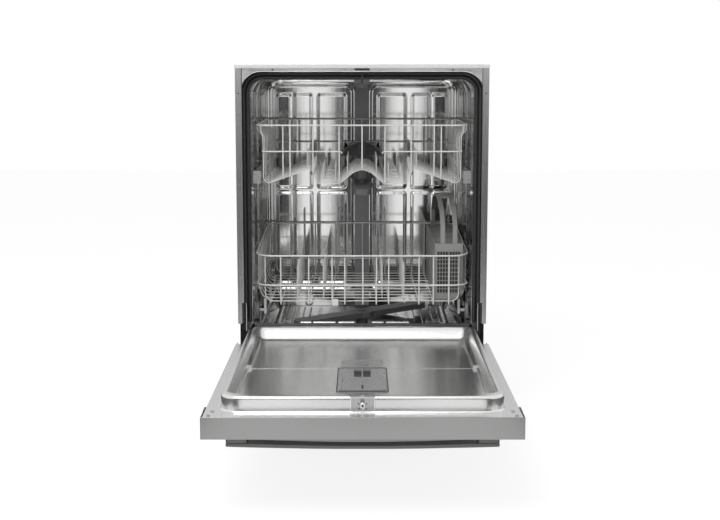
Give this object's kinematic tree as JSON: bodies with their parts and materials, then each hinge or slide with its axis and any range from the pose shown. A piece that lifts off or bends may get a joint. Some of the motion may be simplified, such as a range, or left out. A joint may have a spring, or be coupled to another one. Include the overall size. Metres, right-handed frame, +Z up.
{
  "type": "dishwasher",
  "caption": "Tall-tub dishwasher with its steel door lowered, wire racks that roll out, turning spray arms, a cutlery basket and a bowed bar handle.",
  "frame": {"origin": "on the floor, at the centre of the four levelling feet", "axes": "+Z up, +Y from the door towards the back of the cabinet, +X to the right as seen from the front"},
  "size_m": [0.606, 1.287, 0.86],
  "materials": {
    "tub_steel": "satin pressed stainless sheet",
    "casing_steel": "satin sheet with a fine brushed grain",
    "door_steel": "brushed, the grain running across the door",
    "liner_steel": "satin deep-drawn sheet",
    "back_steel": "galvanised sheet",
    "hinge_steel": "zinc-plated plate",
    "kick_black": "satin black enamel",
    "base_black": "moulded, lightly grained",
    "seal_black": "soft extruded rubber",
    "trim_black": "moulded, smooth",
    "duct_grey": "moulded dark grey",
    "pump_metal": "cast and painted motor housing",
    "pump_plastic": "moulded",
    "filter_steel": "fine perforated sheet",
    "rack_wire": "steel wire in a satin grey nylon coat",
    "wheel_grey": "moulded nylon",
    "rail_steel": "rolled stainless section",
    "basket_grey": "moulded light warm grey",
    "dispenser_grey": "moulded, satin",
    "latch_bright": "polished pin"
  },
  "bodies": {
    "cabinet": {"tub": "tub_steel", "tub_back_relief": "tub_steel", "top_panel": "casing_steel", "side_panel_left": "casing_steel", "side_panel_right": "casing_steel", "back_panel": "back_steel", "base_tray": "base_black", "levelling_feet": "base_black", "kick_plate": "kick_black", "hinge_brackets": "hinge_steel", "hinge_springs": "hinge_steel", "door_seal": "seal_black", "sill_seal": "seal_black", "door_strike": "trim_black", "water_duct": "duct_grey", "duct_port": "duct_grey", "top_sprinkler": "duct_grey", "sump": "duct_grey", "filter_plate": "filter_steel", "wash_pump": "pump_metal", "drain_pump": "pump_plastic", "inlet_valve": "pump_plastic", "junction_box": "back_steel", "roller_brackets": "wheel_grey"},
    "door": {"door_panel": "door_steel", "door_liner": "liner_steel", "hinge_arm_left": "hinge_steel", "hinge_arm_right": "hinge_steel", "handle_posts": "door_steel", "handle_bar": "door_steel", "latch_body": "trim_black", "control_board": "base_black", "dispenser_body": "dispenser_grey", "edge_caps": "trim_black", "door_screws": "hinge_steel"},
    "latch_plunger": {"latch_plunger": "latch_bright"},
    "control_key_1": {"control_key_1": "trim_black"},
    "control_key_2": {"control_key_2": "trim_black"},
    "control_key_3": {"control_key_3": "trim_black"},
    "control_key_4": {"control_key_4": "trim_black"},
    "dispenser_lid": {"dispenser_lid": "dispenser_grey"},
    "rinse_cap": {"rinse_cap": "trim_black"},
    "upper_rack": {"upper_rack": "rack_wire", "spray_feed": "duct_grey"},
    "slide_rails": {"slide_rail_left": "rail_steel", "slide_rail_right": "rail_steel"},
    "rail_rollers_front": {"rail_rollers_front": "wheel_grey"},
    "rail_rollers_rear": {"rail_rollers_rear": "wheel_grey"},
    "upper_wheels_front": {"upper_wheels_front": "wheel_grey"},
    "upper_wheels_rear": {"upper_wheels_rear": "wheel_grey"},
    "upper_spray_arm": {"upper_spray_arm": "duct_grey"},
    "lower_rack": {"lower_rack": "rack_wire", "lower_tines": "rack_wire", "cutlery_basket": "basket_grey", "basket_handle": "basket_grey"},
    "lower_wheels_front": {"lower_wheels_front": "wheel_grey"},
    "lower_wheels_middle": {"lower_wheels_middle": "wheel_grey"},
    "lower_wheels_rear": {"lower_wheels_rear": "wheel_grey"},
    "lower_spray_arm": {"lower_spray_arm": "duct_grey"},
    "filter_cup": {"filter_cup": "duct_grey"}
  },
  "joints": [
    {"name": "door_hinge", "type": "hinge", "parent": "cabinet", "child": "door", "pos_m": [0, -0.325, 0.177], "axis": [1, 0, 0], "range_deg": [-90, 0]},
    {"name": "latch_press", "type": "slide", "parent": "door", "child": "latch_plunger", "axis": [0, 1, 0], "range_m": [0, 0.004], "stiffness_N_per_m": 300},
    {"name": "dispenser_lid_slide", "type": "slide", "parent": "door", "child": "dispenser_lid", "axis": [0, 1, 0], "range_m": [0, 0.052]},
    {"name": "rinse_cap_twist", "type": "hinge", "parent": "door", "child": "rinse_cap", "pos_m": [0, -0.586, 0.2085], "axis": [0, 0, 1], "range_deg": [0, 90]},
    {"name": "control_key_1_press", "type": "slide", "parent": "door", "child": "control_key_1", "axis": [0, 0, 1], "range_m": [0, 0.0012], "stiffness_N_per_m": 400},
    {"name": "control_key_2_press", "type": "slide", "parent": "door", "child": "control_key_2", "axis": [0, 0, 1], "range_m": [0, 0.0012], "stiffness_N_per_m": 400},
    {"name": "control_key_3_press", "type": "slide", "parent": "door", "child": "control_key_3", "axis": [0, 0, 1], "range_m": [0, 0.0012], "stiffness_N_per_m": 400},
    {"name": "control_key_4_press", "type": "slide", "parent": "door", "child": "control_key_4", "axis": [0, 0, 1], "range_m": [0, 0.0012], "stiffness_N_per_m": 400},
    {"name": "upper_rack_slide", "type": "slide", "parent": "cabinet", "child": "upper_rack", "axis": [0, -1, 0], "range_m": [0, 0.44]},
    {"name": "slide_rails_slide", "type": "slide", "parent": "cabinet", "child": "slide_rails", "axis": [0, -1, 0], "range_m": [0, 0.2205]},
    {"name": "rail_roller_front_spin", "type": "hinge", "parent": "cabinet", "child": "rail_rollers_front", "pos_m": [0, -0.21, 0.59], "axis": [1, 0, 0], "range_deg": [0, 990]},
    {"name": "rail_roller_rear_spin", "type": "hinge", "parent": "cabinet", "child": "rail_rollers_rear", "pos_m": [0, -0.055, 0.59], "axis": [1, 0, 0], "range_deg": [0, 990]},
    {"name": "upper_wheel_front_spin", "type": "hinge", "parent": "upper_rack", "child": "upper_wheels_front", "pos_m": [0, 0.05, 0.59], "axis": [1, 0, 0], "range_deg": [0, 990]},
    {"name": "upper_wheel_rear_spin", "type": "hinge", "parent": "upper_rack", "child": "upper_wheels_rear", "pos_m": [0, 0.15, 0.59], "axis": [1, 0, 0], "range_deg": [0, 990]},
    {"name": "lower_rack_slide", "type": "slide", "parent": "cabinet", "child": "lower_rack", "axis": [0, -1, 0], "range_m": [0, 0.48]},
    {"name": "lower_wheel_front_spin", "type": "hinge", "parent": "lower_rack", "child": "lower_wheels_front", "pos_m": [0, -0.1938, 0.2575], "axis": [1, 0, 0], "range_deg": [0, 1260]},
    {"name": "lower_wheel_middle_spin", "type": "hinge", "parent": "lower_rack", "child": "lower_wheels_middle", "pos_m": [0, -0.017, 0.2575], "axis": [1, 0, 0], "range_deg": [0, 1260]},
    {"name": "lower_wheel_rear_spin", "type": "hinge", "parent": "lower_rack", "child": "lower_wheels_rear", "pos_m": [0, 0.1598, 0.2575], "axis": [1, 0, 0], "range_deg": [0, 1260]},
    {"name": "upper_arm_spin", "type": "hinge", "parent": "upper_rack", "child": "upper_spray_arm", "pos_m": [0, -0.02, 0.553], "axis": [0, 0, 1], "continuous": true},
    {"name": "lower_arm_spin", "type": "hinge", "parent": "cabinet", "child": "lower_spray_arm", "pos_m": [0, -0.008, 0.214], "axis": [0, 0, 1], "continuous": true},
    {"name": "filter_twist", "type": "hinge", "parent": "cabinet", "child": "filter_cup", "pos_m": [0.057, -0.008, 0.15], "axis": [0, 0, 1], "range_deg": [0, 90]}
  ],
  "couplings": [
    {"joint": "slide_rails_slide", "follows": "upper_rack_slide", "ratio": 0.5},
    {"joint": "rail_roller_front_spin", "follows": "upper_rack_slide", "rad_per_m": 39.062},
    {"joint": "rail_roller_rear_spin", "follows": "upper_rack_slide", "rad_per_m": 39.062},
    {"joint": "upper_wheel_front_spin", "follows": "upper_rack_slide", "rad_per_m": 39.062},
    {"joint": "upper_wheel_rear_spin", "follows": "upper_rack_slide", "rad_per_m": 39.062},
    {"joint": "lower_wheel_front_spin", "follows": "lower_rack_slide", "rad_per_m": 45.455},
    {"joint": "lower_wheel_middle_spin", "follows": "lower_rack_slide", "rad_per_m": 45.455},
    {"joint": "lower_wheel_rear_spin", "follows": "lower_rack_slide", "rad_per_m": 45.455}
  ]
}
